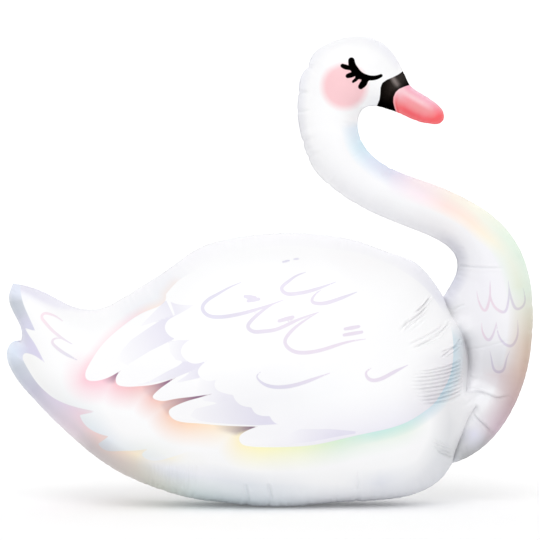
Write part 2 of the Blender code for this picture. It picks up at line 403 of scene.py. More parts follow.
# Dark corners between the feathers: corners of each, where it is strongest, where it has faded, colour
CUSP_SHADES = [
    (
        [(120.5, 370.5), (108, 377.8), (101, 381), (107, 382), (113, 381.5), (115.5, 378)],
        (119, 373), (103, 384), CUSP_SHADE,
    ),
    (
        [(176, 377.6), (162, 382.5), (144, 386.5), (144, 391), (153, 397), (160, 389)],
        (168, 381), (142, 395), CUSP_SHADE,
    ),
    (
        [(213, 393.5), (190, 396.5), (168, 400), (162, 405), (168, 413), (189, 401)],
        (196, 396), (153, 411), CUSP_SHADE,
    ),
    (
        [(258, 426.6), (232, 425.5), (204, 423.5), (212, 427), (236, 433), (244, 431)],
        (252, 428), (213, 428), BROWN_SHADE,
    ),
    (
        [
            (14, 284), (30, 286), (55, 297), (80, 306), (104, 311), (80, 310), (58, 307), (40, 299),
            (28, 292), (21, 290),
        ],
        (30, 290), (110, 312), (234, 232, 245),
    ),
]
CUSP_SOFT_MM = 5.0
CUSP_FULL_MM = 1.0
CUSP_FADE = 1.1

# Printed lines: their path, with the widths along it, in pixels
WING_LINES = [
    [
        (241, 282.5), (229, 287.6), (216.5, 294.6), (206, 301.6), (202.5, 308), (206, 314), (216.5, 317),
        (229, 316), (248, 312), (268, 305.5), (283.5, 300),
    ],
    [
        (283, 300), (273, 304), (261, 312), (251, 321), (248, 327), (252, 331), (261, 331.6), (274, 330),
        (293, 322), (319, 312),
    ],
    [
        (319, 312), (301, 323), (289, 333.7), (285, 342), (291, 350), (304, 352.7), (327, 348.4),
        (347.5, 342), (365.6, 339),
    ],
    [
        (306, 272), (296, 276), (287, 282.5), (281.6, 289), (285, 293), (293, 294), (306, 292), (325, 286),
        (336, 282),
    ],
    [(321, 290), (313.5, 296.5), (312, 301), (319, 303.5), (331, 301.6), (357, 292)],
    [(260.5, 372), (257, 376), (261, 382), (271, 386.5), (283, 387), (299, 384), (319, 377), (330, 373)],
    [(371.6, 368), (366, 373), (369, 379), (377, 380), (390.5, 374), (408, 365)],
]
WING_LINE_WIDTHS = [0.6, 3.4, 3.9, 3.4, 0.6]
DOTS = [
    ([(245, 296.5), (255, 297.5)], 4.0),
    ([(248, 301), (259, 299)], 4.0),
    ([(279, 321), (293, 317)], 4.2),
    ([(345, 329), (359, 326.5)], 3.8),
    ([(344, 335), (362, 332)], 3.8),
    ([(283, 262), (289, 260.5)], 2.2),
    ([(294, 259), (299, 258.5)], 2.0),
]
DOT_ENDS = 0.8
TAIL_LINES = [
    [
        (62.7, 321), (55, 316), (48, 313.6), (43.5, 313.8), (41.8, 316.5), (44, 321), (52, 330),
        (60.5, 337), (72, 344),
    ],
    [(61, 338.7), (54.7, 338.7), (52.4, 341), (56, 347), (64, 353), (77, 360)],
]
TAIL_LINE_WIDTHS = [0.8, 2.6, 3.2, 3.0, 0.8]
BREAST_LINES = [
    [(476.8, 291), (479, 302), (485, 310.6), (488.6, 303), (490, 281)],
    [(490, 281), (492, 302), (499, 310.6), (504, 312), (507.6, 305), (508.3, 281)],
    [(508.3, 281), (512, 301), (517.4, 309), (523, 306), (525, 298), (523, 288)],
    [(481.7, 323), (483, 333), (488.7, 340), (493.6, 333), (496.4, 322)],
    [(496.4, 322), (499, 336), (505, 344), (510.4, 346), (516, 340), (518, 330), (517.4, 320)],
    [(490, 351), (492, 362), (496.4, 371.5), (501.3, 371.5), (506, 361), (509.7, 351)],
]
BREAST_LINE_WIDTHS = [0.3, 1.8, 2.9, 1.8, 0.3]

# The face: the closed eye's lashes, the mask before the bill, and the bill
LASHES = [
    (
        [
            (351.4, 60.5), (352.4, 65.6), (355, 70), (358.5, 74.3), (364, 76.9), (370.8, 78), (377.4, 77.2),
            (381.1, 75.6),
        ],
        [6.6, 7.5, 7.9, 7.8, 6.4, 5.2, 4.5, 3.4],
    ),
    ([(342.5, 65.7), (344.8, 66.7), (348, 67.6), (351, 68.5)], [4.4, 5.2, 4.8, 3.6]),
    ([(347.8, 76), (350.5, 75.1), (353, 74.4), (356, 73.6)], [4.6, 5.6, 5.0, 3.4]),
    ([(352.9, 81.8), (355, 80.2), (358.3, 77.2)], [2.6, 3.6, 3.2]),
    ([(360.7, 86.7), (362.2, 85), (364, 82.8), (366, 80.4), (367.6, 78)], [5.4, 6.8, 6.8, 5.0, 2.6]),
]
MASK = [
    (404, 69.5), (402.8, 71.2), (398.5, 74.4), (393, 77.2), (386.5, 79.9), (382.2, 83.1), (380.6, 87.5),
    (380.2, 94), (379.5, 99.4), (377, 105.6), (374, 114), (400, 122), (399, 112), (397, 103), (400, 95),
    (408, 90), (413, 88), (420, 82), (414, 70),
]
BILL = [
    (420, 79), (409.6, 84.9), (404.6, 86.6), (399, 89), (395.6, 92.3), (393.4, 97.5), (393.3, 102.5),
    (394.8, 108.4), (396.2, 112.2), (397, 124), (450, 136), (456, 100),
]
# A painted sheen on the black mask, round its painted highlight
MASK_PAINTED_SHEEN = [
    (404, 74, (52, 47, 45), 0.9), (396, 82, (62, 55, 52)), (389, 92, (40, 34, 31), 0.7),
    (384, 104, BLACK_INK, 0.5),
]
# A painted highlight streaked down the mask
MASK_PAINTED_HIGHLIGHT = [
    (391.5, 76, (120, 112, 109), 0.8), (394.3, 80.5, (142, 132, 129)), (397.5, 85, (128, 119, 116), 0.9),
    (400, 88.5, BLACK_INK, 0.0),
]
BILL_TOP = [
    (408, 84, BILL_PINK), (414.7, 89.5, BILL_PINK), (423.4, 94.6, BILL_PINK), (432, 99.2, BILL_PINK),
    (439.7, 105.5, BILL_PINK, 0.6), (444.5, 114, BILL_PINK, 0.0),
]
BILL_BASE = [
    (399, 91, (253, 216, 223)), (399.5, 97, (247, 182, 190), 0.9), (398, 103, (248, 146, 149), 0.8),
    (397.5, 109, (255, 114, 118), 0.6),
]
BILL_MIDDLE = [
    (405, 100, (244, 164, 164), 0.5), (417, 107, (240, 156, 152), 0.7), (431, 112, (240, 152, 150), 0.6),
]
# A painted highlight along the bill
BILL_PAINTED_HIGHLIGHT = [
    (402, 90.4, BILL_HIGHLIGHT_COLOUR, 0.8), (412.3, 97, BILL_HIGHLIGHT_COLOUR, 0.9), (423.5, 103.3, BILL_HIGHLIGHT_COLOUR, 0.8),
    (431, 108, BILL_HIGHLIGHT_COLOUR, 0.3),
]
# A thin painted highlight along the bill's edge by the mask
BILL_EDGE_PAINTED_HIGHLIGHT = [
    (403, 87.8, BILL_HIGHLIGHT_COLOUR, 0.3), (396.6, 92, BILL_HIGHLIGHT_COLOUR, 0.7), (394.3, 97.5, BILL_HIGHLIGHT_COLOUR, 0.7),
    (394.2, 104.5, BILL_HIGHLIGHT_COLOUR, 0.6), (396, 112, BILL_HIGHLIGHT_COLOUR, 0.7),
]
BLUSH_CENTRE = (344.6, 86.2)
BLUSH_RADIUS = 22.3
BLUSH_EDGE = 3.8

# Washes of print, and of painted shade and highlights where marked: stops of a path with their colours, and
# with their strengths where they aren't full
WING_GLOW = [
    (88, 352, ROSE_GLOW, 0.0), (84, 366, ROSE_GLOW, 0.45), (86, 379, ROSE_GLOW, 0.9), (105, 385, ROSE_GLOW),
    (132, 389, SALMON_GLOW), (162, 404, APRICOT_GLOW), (190, 425, ORANGE_GLOW), (225, 430, AMBER_GLOW),
    (262, 449, YELLOW_GLOW), (300, 448, LIME_GLOW), (340, 441, GREEN_GLOW), (370, 435, GREEN_GLOW, 0.7),
]
SIDE_GLOW = [
    (340, 441, TEAL_GLOW, 0.0), (375, 433, TEAL_GLOW), (400, 426, TEAL_GLOW, 0.9),
    (425, 411, SKY_GLOW, 0.9), (442, 393, SKY_GLOW), (453, 360, SKY_GLOW), (453, 340, SKY_GLOW, 0.8),
    (450, 326, SKY_GLOW, 0.0),
]
UPPER_GLOW = [
    (166, 293, PEACH, 0.4), (150, 306, PEACH, 0.7), (129, 320, ROSE_GLOW, 0.45),
    (101, 345, ROSE_GLOW, 0.35), (87, 362, ROSE_GLOW, 0.5), (84, 378, ROSE_GLOW, 0.2),
]
UPPER_SHADE = [
    (196, 262, WHITE, 0.0), (172, 282, (238, 239, 244), 0.9), (150, 300, (236, 238, 243)),
    (128, 314, (240, 241, 246), 0.9), (108, 330, WHITE, 0.0),
]
# Painted shade over the lower right of the body, where it turns from the light
RIGHT_PAINTED_SHADE = [
    (447, 402, (226, 226, 229), 0.7), (450, 428, (228, 229, 232)), (442, 455, (226, 228, 232)),
    (424, 478, (232, 233, 237), 0.8), (396, 488, (236, 238, 243), 0.7),
]
# Painted shade in the valley left of the upper weld
WELD_PAINTED_SHADE = [
    (458, 325, (226, 227, 231), 0.0), (463, 342, (214, 215, 219), 0.8), (464, 362, (212, 213, 216), 0.9),
    (463, 384, (224, 224, 228), 0.7), (462, 400, WHITE, 0.0),
]
LOW_FACET = [
    (468, 448, (226, 228, 244), 0.2), (474, 434, (228, 228, 246), 0.8), (478, 424, (238, 238, 248), 0.4),
]
THROAT_WASH = [
    (357, 117, WHITE, 0.0), (358.5, 127, (214, 237, 255), 0.8), (364, 145, (205, 240, 255)),
    (376, 158, (217, 233, 254)), (392, 169, (217, 222, 243)), (412, 177, (240, 232, 248), 0.9),
    (432, 184, PINK, 0.2),
]
NECK_WASH = [
    (392, 169, LILAC, 0.0), (415, 178, (253, 238, 242), 0.8), (432, 184, (254, 239, 241)),
    (455, 194, (255, 244, 231)), (476, 205, PEACH_YELLOW), (494, 217, (246, 250, 233)), (510, 235, LIME),
    (522, 257, (225, 243, 226)), (530, 285, MINT, 0.6), (532, 302, MINT, 0.0),
]
NECK_BAND = [
    (396, 184, (246, 236, 244), 0.4), (421, 195, (247, 230, 238), 0.9), (446, 206, (252, 228, 222)),
    (470, 221, (251, 230, 216)), (482, 232, (251, 240, 221)), (493, 241, (251, 245, 226), 0.9),
    (507, 256, (243, 245, 231), 0.6), (519, 287, (239, 238, 221), 0.8), (521, 303, WHITE, 0.0),
]
# The print's colours down the breast's front rim; its mauve and grey last stops add painted shade by the
# lower weld
BREAST_WASH = [
    (526, 262, MINT, 0.0), (531, 290, (217, 233, 215), 0.8), (533, 315, OLIVE, 0.9),
    (531, 345, PEACH_BROWN, 0.9), (526, 372, SALMON), (513, 407, ROSE), (499, 430, (196, 169, 184)),
    (484, 446, MAUVE_WITH_PAINTED_SHADE, 0.9), (463, 459, PAINTED_SHADE_GREY, 0.9),
]
# The printed strip round the tail and keel; its grey stops on the tail's lobes are painted shade, the pale
# blue one on the lower lobe a painted highlight
STRIP = [
    (16, 284, (232, 236, 250)), (14, 293, (228, 233, 247)), (13, 302, (197, 203, 214)),
    (16, 312, (196, 202, 214)), (21, 322, (208, 208, 226)), (25, 334, (202, 202, 220)),
    (31, 350, (216, 213, 234)), (14, 352, (222, 232, 248)), (15, 368, (196, 203, 216)),
    (22, 380, (196, 200, 216)), (33, 392, (194, 192, 212)), (50, 409, (211, 203, 219)),
    (70, 425, (222, 206, 218)), (96, 446, (215, 201, 203)), (122, 462, (235, 218, 210)),
    (146, 468, (232, 228, 210), 0.9), (175, 472, (240, 242, 232), 0.2),
]
STRIP_TIPS = [
    (28, 326, (220, 220, 242), 0.6), (38, 354, (218, 212, 236), 0.8), (62, 402, (224, 212, 232), 0.8),
    (84, 418, (240, 212, 222)), (100, 438, (246, 216, 210)), (113, 448, (250, 222, 206)),
    (138, 454, (252, 240, 214)), (170, 456, (252, 246, 226), 0.8), (194, 452, WHITE, 0.0),
]
# Painted shade, pale blue-grey, over the lower body where it turns towards the ground
LOW_BODY_PAINTED_SHADE = [
    (150, 462, (240, 242, 252), 0.5), (170, 475, (235, 238, 250)), (200, 477, (243, 244, 250)),
    (250, 485, (234, 237, 243)), (300, 486, (244, 245, 249), 0.7), (332, 484, WHITE, 0.0),
    (355, 484, (244, 245, 249), 0.6), (382, 483, (233, 235, 243)), (408, 474, (246, 247, 250), 0.4),
]
# Along the keel's bottom rim: the printed strip's colours, darkened with painted shade along the rim and grey
# at its right end
KEEL_STRIP_AND_PAINTED_SHADE = [
    (90, 452, (188, 178, 180), 0.8), (128, 474, (204, 196, 190), 0.9), (160, 487, (214, 217, 208)),
    (195, 495, (221, 232, 234)), (250, 502, (226, 234, 240)), (330, 504, (238, 241, 248), 0.8),
    (420, 495, (218, 220, 230)), (450, 468, (206, 208, 216)),
]
PANEL_EDGE = [
    (26, 300, WHITE, 0.0), (28, 358, (242, 242, 240), 0.6), (60, 400, (240, 242, 243), 0.8),
    (90, 428, (230, 238, 243)), (105, 448, (218, 229, 240)), (150, 457, (238, 243, 238), 0.9),
    (200, 450, WHITE, 0.0),
]
# Painted shade: the wing a little greyer over its lower part
LOW_WING_PAINTED_SHADE = [
    (150, 392, (249, 249, 251), 0.6), (200, 408, (247, 247, 249)), (262, 401, (244, 244, 247)),
    (330, 392, (249, 250, 252), 0.8), (390, 370, WHITE, 0.0),
]
FEATHER_DUSK = [
    (262, 452, LAVENDER, 0.3), (330, 444, LAVENDER), (400, 432, (234, 233, 244)),
    (440, 402, (228, 226, 232)), (455, 360, (230, 228, 234), 0.8), (452, 330, WHITE, 0.0),
]
# Painted shade along the rim of the neck, nape and head
HEAD_RIM_PAINTED_SHADE = [
    (318, 172, (245, 245, 248), 0.5), (304, 146, (231, 231, 236), 0.9), (299, 122, (231, 231, 237)),
    (299, 90, (238, 239, 246)), (306, 66, (240, 241, 248)), (325, 44, (246, 246, 250), 0.9),
    (355, 37, (248, 248, 251), 0.8), (382, 46, (244, 244, 250)), (398, 62, (243, 242, 249)),
]
# Painted shade, faintly lavender, along the top rim of the tail and back
BACK_RIM_PAINTED_SHADE = [
    (18, 284, (238, 239, 250)), (50, 292, (242, 239, 250)), (80, 303, (248, 246, 250), 0.8),
    (110, 305, (250, 249, 252), 0.7), (160, 276, (245, 244, 250), 0.9), (220, 240, (249, 248, 252), 0.8),
    (320, 236, (250, 249, 253), 0.8), (400, 254, (247, 246, 252), 0.8), (443, 295, (240, 240, 248)),
]
# Painted shade in the inner corner between the back and the neck
NECK_CORNER_PAINTED_SHADE = [
    (434, 234, (222, 222, 228), 0.0), (446, 242, (216, 216, 224), 0.6), (456, 254, (213, 213, 222), 0.9),
    (458, 266, (215, 216, 223)), (455, 280, (217, 218, 231)), (447, 291, (217, 217, 228)),
    (443, 297, WHITE, 0.0),
]
# Painted shade over the lower middle of the breast
BREAST_PAINTED_SHADE = [
    (504, 336, (234, 234, 239), 0.3), (501, 352, (221, 221, 226), 0.9), (499, 364, (214, 213, 217)),
    (500, 376, (213, 201, 205)), (496, 386, (218, 210, 215), 0.7), (492, 393, WHITE, 0.0),
]
# Painted shade, pale grey-lilac, down the neck's underside and over the breast, dimming their highlight
NECK_PAINTED_SHADE = [
    (325, 165, (246, 246, 248), 0.6), (352, 188, (246, 246, 249), 0.8), (403, 208, (246, 246, 248)),
    (450, 228, (242, 240, 242)), (474, 250, (240, 240, 244)), (484, 285, (240, 239, 245)),
    (486, 320, (240, 239, 244)), (486, 355, (236, 235, 239)), (482, 378, (228, 227, 231)),
    (480, 392, (238, 238, 243), 0.7),
]
LINE_TINTS = [
    [(210, 300, LINE_TINT), (290, 330, (236, 227, 239)), (360, 360, (237, 226, 238))],
    [
        (480, 315, PINK_LINE_TINT), (492, 318, PINK_LINE_TINT), (503, 322, PURPLE_LINE_TINT),
        (525, 318, PURPLE_LINE_TINT),
    ],
    [(42, 320, PINK_LINE_TINT), (76, 350, (230, 228, 238))],
]

# The washes of each field, print and painted shade and highlights alike, in the order they are laid: stops,
# reach in pixels, and how steeply it fades
BODY_WASHES = [
    (NECK_PAINTED_SHADE, 34, 0.45), (NECK_CORNER_PAINTED_SHADE, 12, 0.9), (BREAST_PAINTED_SHADE, 18, 0.6), (HEAD_RIM_PAINTED_SHADE, 9, 0.9),
    (BACK_RIM_PAINTED_SHADE, 18, 0.9), (THROAT_WASH, 18, 0.8), (NECK_WASH, 26, 0.7), (NECK_BAND, 10, 0.8),
    (BREAST_WASH, 25, 0.8),
]
PANEL_WASHES = [(PANEL_EDGE, 24, 1.3)]
STRIP_WASHES = [(STRIP, 34, 0.5), (STRIP_TIPS, 11, 0.8)]
LOW_WASHES = [
    (LOW_BODY_PAINTED_SHADE, 15, 0.8), (KEEL_STRIP_AND_PAINTED_SHADE, 21, 0.9), (RIGHT_PAINTED_SHADE, 20, 0.8), (WELD_PAINTED_SHADE, 9, 0.8),
    (LOW_FACET, 12, 0.8),
]
FEATHER_WASHES = [(LOW_WING_PAINTED_SHADE, 38, 0.6), (FEATHER_DUSK, 48, 1.3)]
MASK_PAINTED_LIGHT_WASHES = [(MASK_PAINTED_SHEEN, 10, 0.8), (MASK_PAINTED_HIGHLIGHT, 3.6, 1.0)]
BILL_PRINT_AND_PAINTED_HIGHLIGHTS = [
    (BILL_TOP, 22, 0.9), (BILL_MIDDLE, 7, 0.8), (BILL_BASE, 9, 0.8), (BILL_PAINTED_HIGHLIGHT, 4, 0.9),
    (BILL_EDGE_PAINTED_HIGHLIGHT, 1.6, 1.0),
]
TINT_WASHES = [(stops, 60, 0.5) for stops in LINE_TINTS]

# The glows round the wing, which are strongest at its edge and fade outwards
WING_GLOWS = [(UPPER_SHADE, 24, 1.0), (UPPER_GLOW, 9, 1.2), (WING_GLOW, 25, 1.15), (SIDE_GLOW, 11, 0.8)]

# The stage: a pale floor that bends up into a wall, an even sky and wide soft lights
BACKDROP_HALF_WIDTH = 60.0
BACKDROP_FRONT = -40.0
BACKDROP_BEND_START = 3.0
BACKDROP_BEND_RADIUS = 5.0
BACKDROP_HEIGHT = 17.0
BACKDROP_BEND_STEPS = 25
BACKDROP_ROUGHNESS = 0.9
BACKDROP_COLOUR = (0.95, 0.95, 0.95)
BACKDROP_GLOW = 0.06
SKY_STRENGTH = 0.64
SUNS = [
    ("key_light", (0.0, 0.8, -0.8), 0.85, 40),
    ("front_light", (0.0, 1.0, 0.05), 0.36, 40),
    ("top_light", (0.35, 0.5, -1.1), 0.25, 40),
]

# The film: the share of light that its white print reflects, its finish, and its faint ripples in metres
FILM_REFLECTANCE = 0.93
FILM_ROUGHNESS = 0.36
FILM_SPECULAR = 0.5
INK_SPECULAR = 0.0
RIPPLE_SCALE = 45
RIPPLE_DETAIL = 3
RIPPLE_STRENGTH = 0.35
RIPPLE_HEIGHT = 0.0006

# Half the width of the print's soft edges, and how far it follows the creases: 0 not at all, 1 fully
PRINT_EDGE_MM = 0.45
PRINT_ON_CREASES = 0.7


def from_photo(pixels):
    """Where one pixel, or each of several, is in the drawing."""
    pixels = np.array(pixels, float)
    a = (pixels[..., 0] - TAIL_COLUMN) * PIXEL_MM
    b = (GROUND_ROW - pixels[..., 1]) * PIXEL_MM
    return np.stack([a, b], axis=-1)


def second_derivatives(places, values):
    """Second derivatives of a natural cubic spline at its knots."""
    gaps = np.diff(places)
    count = len(places)
    system = np.eye(count)
    right = np.zeros_like(values)
    for i in range(1, count - 1):
        system[i, i - 1 : i + 2] = gaps[i - 1], 2 * (gaps[i - 1] + gaps[i]), gaps[i]
        slope_after = (values[i + 1] - values[i]) / gaps[i]
        slope_before = (values[i] - values[i - 1]) / gaps[i - 1]
        right[i] = 6 * (slope_after - slope_before)
    return np.linalg.solve(system, right)


def smooth(knots, spacing):
    """Points a spacing apart on a natural cubic spline through the knots, a straight run for two."""
    values = np.array(knots, float)
    steps = np.linalg.norm(np.diff(values, axis=0), axis=1)
    places = np.concatenate([[0.0], np.cumsum(steps)])
    bends = second_derivatives(places, values)
    fine = np.linspace(0, places[-1], 30 * len(places))
    piece = np.clip(np.searchsorted(places, fine, side="right") - 1, 0, len(places) - 2)
    gap = (places[piece + 1] - places[piece])[:, None]
    after = (fine - places[piece])[:, None] / gap
    before = 1 - after
    curve = before * values[piece] + after * values[piece + 1]
    curve += gap**2 / 6 * ((before**3 - before) * bends[piece] + (after**3 - after) * bends[piece + 1])
    lengths = np.concatenate([[0.0], np.cumsum(np.linalg.norm(np.diff(curve, axis=0), axis=1))])
    wanted = np.linspace(0, lengths[-1], max(2, round(lengths[-1] / spacing)) + 1)
    return np.column_stack([np.interp(wanted, lengths, curve[:, axis]) for axis in range(2)])


def ring(stretches, spacing):
    """One closed run of points round several smooth stretches."""
    return np.concatenate([smooth(stretch, spacing)[:-1] for stretch in stretches])


def normals_of(run, closed):
    """Unit normals to the left of a run of points."""
    if closed:
        ahead = np.roll(run, -1, axis=0) - np.roll(run, 1, axis=0)
    else:
        ahead = np.gradient(run, axis=0)
    left = np.column_stack([-ahead[:, 1], ahead[:, 0]])
    return left / np.linalg.norm(left, axis=1)[:, None]


def crossings_inside(points, outline):
    """Which points a closed outline goes round."""
    found = np.zeros(len(points), bool)
    x, z = points[:, 0], points[:, 1]
    for start, end in zip(outline, np.roll(outline, -1, axis=0)):
        if start[1] == end[1]:
            continue
        spans = (start[1] > z) != (end[1] > z)
        crossing = start[0] + (z - start[1]) * (end[0] - start[0]) / (end[1] - start[1])
        found ^= spans & (x < crossing)
    return found


def to_path(points, path, closed=False):
    """Distance to a path, and the share of its length at the nearest place."""
    starts = path if closed else path[:-1]
    ends = np.roll(path, -1, axis=0) if closed else path[1:]
    spans = ends - starts
    lengths = np.linalg.norm(spans, axis=1)
    before = np.concatenate([[0.0], np.cumsum(lengths)])
    best = np.full(len(points), np.inf)
    share = np.zeros(len(points))
    for i, (start, span, length) in enumerate(zip(starts, spans, lengths)):
        if length == 0:
            continue
        offset = points - start
        along = np.clip(offset @ span / length**2, 0, 1)
        away = offset - along[:, None] * span
        distance = np.hypot(away[:, 0], away[:, 1])
        nearer = distance < best
        best[nearer] = distance[nearer]
        share[nearer] = (before[i] + along[nearer] * length) / before[-1]
    return best, share


def box_around(points, path, reach):
    """Which points are in the box round a path, widened by a reach."""
    low = path.min(axis=0) - reach
    high = path.max(axis=0) + reach
    return np.all((points > low) & (points < high), axis=1)


def search_tree(places):
    tree = KDTree(len(places))
    for index, (a, b) in enumerate(places):
        tree.insert((a, b, 0), index)
    tree.balance()
    return tree


def nearest(points, tree):
    """The index of the tree's nearest place for each point, and the distance to it."""
    found = [tree.find((a, b, 0)) for a, b in points]
    return np.array([item[1] for item in found]), np.array([item[2] for item in found])


class Seam:
    """All welds as close samples, to find how far a point is from the nearest one."""

    def __init__(self, spacing):
        self.outline = ring(OUTLINE, spacing)
        self.welds = [smooth(knots, spacing) for knots in INNER_WELDS]
        self.tree = search_tree(np.concatenate([self.outline] + self.welds))

    def nearest(self, points):
        return nearest(points, self.tree)


def thinned(run, room):
    """A run without the points that crowd the one kept before them."""
    kept = [run[0]]
    for point in run[1:]:
        if np.hypot(*(point - kept[-1])) > room:
            kept.append(point)
    return np.array(kept)


def row_reaches(margin):
    """How far each row of points is from a weld, further apart outwards."""
    inflated = [margin + ROW_GROWTH_MM * row**2 for row in range(1, ROWS_BESIDE_WELD + 1)]
    return [reach for reach in [margin] + inflated if reach > FIRST_ROW_MM]


def clear_of_others(distance, reach):
    """Which points of a row have no weld nearer than the row's own."""
    return distance > 0.97 * reach - 0.01


def rows_beside(seam, outline, welds, along):
    """Rows of points along both sides of the welds, and round the inner welds' tips."""
    found = []
    for reach in row_reaches(WELD_MARGIN_MM):
        run = thinned(outline + normals_of(outline, True) * reach, ROW_CROWDING * along)
        found.append(run[clear_of_others(seam.nearest(run)[1], reach)])
    for reach in row_reaches(0.0):
        for weld in welds:
            ahead = weld[-1] - weld[-2]
            heading = math.atan2(ahead[1], ahead[0])
            around = np.column_stack([np.cos(heading + TIP_TURNS), np.sin(heading + TIP_TURNS)])
            left = normals_of(weld, False) * reach
            for run in (weld + left, weld - left, weld[-1] + around * reach):
                index, distance = seam.nearest(run)
                clear = clear_of_others(distance, reach) & (index >= len(seam.outline))
                if clear.any():
                    found.append(thinned(run[clear], TIP_CROWDING * along))
    return np.concatenate(found)


def triangular_grid(around, spacing):
    """Points of an even grid in the box around some others."""
    low, high = around.min(axis=0), around.max(axis=0)
    columns = np.arange(low[0], high[0], spacing)
    rows = np.arange(low[1], high[1], spacing * math.sqrt(0.75))
    a, b = np.meshgrid(columns, rows)
    a = a + spacing / 2 * (np.arange(len(rows)) % 2)[:, None]
    return np.column_stack([a.ravel(), b.ravel()])


def clear_of_rows(points, seam, outline, spacing):
    """The points inside the outline that leave room for the rows beside the welds."""
    points = points[crossings_inside(points, outline[::2])]
    return points[seam.nearest(points)[1] > LAST_ROW_MM + GRID_ROOM * spacing]


def without_crowding(points, others, room):
    return points[nearest(points, search_tree(others))[1] > room]


def inside_points(seam, outline, inside, fine, details):
    """An even grid, a finer one in the finest zone, and the points of details outside that zone."""
    zone = from_photo(FINE_ZONE)
    grid = triangular_grid(outline, inside)
    grid = clear_of_rows(grid[~box_around(grid, zone, 0)], seam, outline, inside)
    fine_grid = clear_of_rows(triangular_grid(zone, fine), seam, outline, fine)
    grid = np.concatenate([grid, fine_grid])
    if details is None:
        return grid
    details = clear_of_rows(details, seam, outline, BESIDE_LINES_MM)
    details = details[~box_around(details, zone, 0)]
    return np.concatenate([without_crowding(grid, details, LINES_ROOM * BESIDE_LINES_MM), details])


def flat_film(along, inside, fine, details):
    """The flat sheet: its points, triangles, nearest weld samples and distances from them."""
    seam = Seam(WELD_SAMPLES_MM)
    outline = ring(OUTLINE, along)
    welds = [smooth(knots, along) for knots in INNER_WELDS]
    rows = rows_beside(seam, outline, welds, along)
    grid = inside_points(seam, outline, inside, fine, details)
    inner = [weld[1:] for weld in welds]
    points = np.concatenate([outline] + inner + [rows, grid])
    edges = [(i, (i + 1) % len(outline)) for i in range(len(outline))]
    found = delaunay_2d_cdt([Vector(point) for point in points], edges, [], 1, 1e-6)
    points = np.array([tuple(point) for point in found[0]])
    triangles = np.array(found[2])
    index, distance = seam.nearest(points)
    return seam, points, triangles, index, distance


def membrane(points, triangles, held):
    """Height of a membrane under even pressure, held where told, by conjugate gradients."""
    count = len(points)
    load = np.zeros(count)
    firsts, seconds, shares = [], [], []
    for corner in range(3):
        a, b, c = (triangles[:, (corner + turn) % 3] for turn in range(3))
        along_b = points[b] - points[a]
        along_c = points[c] - points[a]
        double_area = np.abs(along_b[:, 0] * along_c[:, 1] - along_b[:, 1] * along_c[:, 0])
        firsts.append(b)
        seconds.append(c)
        shares.append(0.5 * np.sum(along_b * along_c, axis=1) / np.maximum(double_area, 1e-9))
        load += np.bincount(a, double_area / 6, count)
    first, second, share = np.concatenate(firsts), np.concatenate(seconds), np.concatenate(shares)
    diagonal = np.bincount(first, share, count) + np.bincount(second, share, count)
    free = ~held

    def stiffness(values):
        pulled = diagonal * values
        pulled -= np.bincount(first, share * values[second], count)
        pulled -= np.bincount(second, share * values[first], count)
        return pulled * free

    height = np.zeros(count)
    left = load * free
    ready = left / diagonal
    heading = ready.copy()
    energy = left @ ready
    stop = MEMBRANE_PRECISION * energy
    for _ in range(MEMBRANE_STEPS):
        pulled = stiffness(heading)
        step = energy / (heading @ pulled)
        height += step * heading
        left -= step * pulled
        ready = left / diagonal
        fresh = left @ ready
        if fresh < stop:
            break
        heading = ready + fresh / energy * heading
        energy = fresh
    return np.maximum(height, 0)


def half_thickness(points, triangles, distance, index, seam):
    """Half the balloon's thickness at each point: round where narrow, flatter than round where wide."""
    on_outline = index < len(seam.outline)
    inner = [to_path(points, weld) for weld in seam.welds]
    on_weld = np.min([away for away, _ in inner], axis=0) < ON_WELD_MM
    held = on_weld | (on_outline & (distance < IN_MARGIN_MM))
    half = np.sqrt(2 * membrane(points, triangles, held))
    fattest = half.max()
    half *= 1 - (1 - FATTEST_HALF_MM / fattest) * (half / fattest) ** 2
    lift = np.zeros(len(points))
    for (away, share), lifts in zip(inner, WELD_LIFTS):
        height = np.interp(share, np.linspace(0, 1, len(lifts)), lifts)
        lift = np.maximum(lift, height * np.exp(-((away / WELD_LIFT_REACH_MM) ** 2)))
    lift *= np.clip(nearest(points, search_tree(seam.outline))[1] / LIFT_FADES_MM, 0, 1)
    flat = np.where(on_outline & (distance < ON_OUTLINE_MM), 0.0, FLAT_FILM_HALF_MM)
    half = np.where(held, flat, np.maximum(half, FLAT_FILM_HALF_MM))
    return np.sqrt(half**2 + lift**2)


def surface_normals(places, triangles):
    """Unit normals at the corners of a mesh."""
    sides_b = places[triangles[:, 1]] - places[triangles[:, 0]]
    sides_c = places[triangles[:, 2]] - places[triangles[:, 0]]
    normals = np.cross(sides_b, sides_c)
    total = np.zeros_like(places)
    for corner in range(3):
        for axis in range(3):
            total[:, axis] += np.bincount(triangles[:, corner], normals[:, axis], len(places))
    return total / np.maximum(np.linalg.norm(total, axis=1), 1e-12)[:, None]


def as_seen(places):
    """Where the camera sees each place, in the drawing."""
    centre = from_photo(CENTRE)
    scale = CAMERA_DISTANCE / (CAMERA_DISTANCE - np.abs(places[:, 1]) * MM)
    return centre + (places[:, [0, 2]] - centre) * scale[:, None]


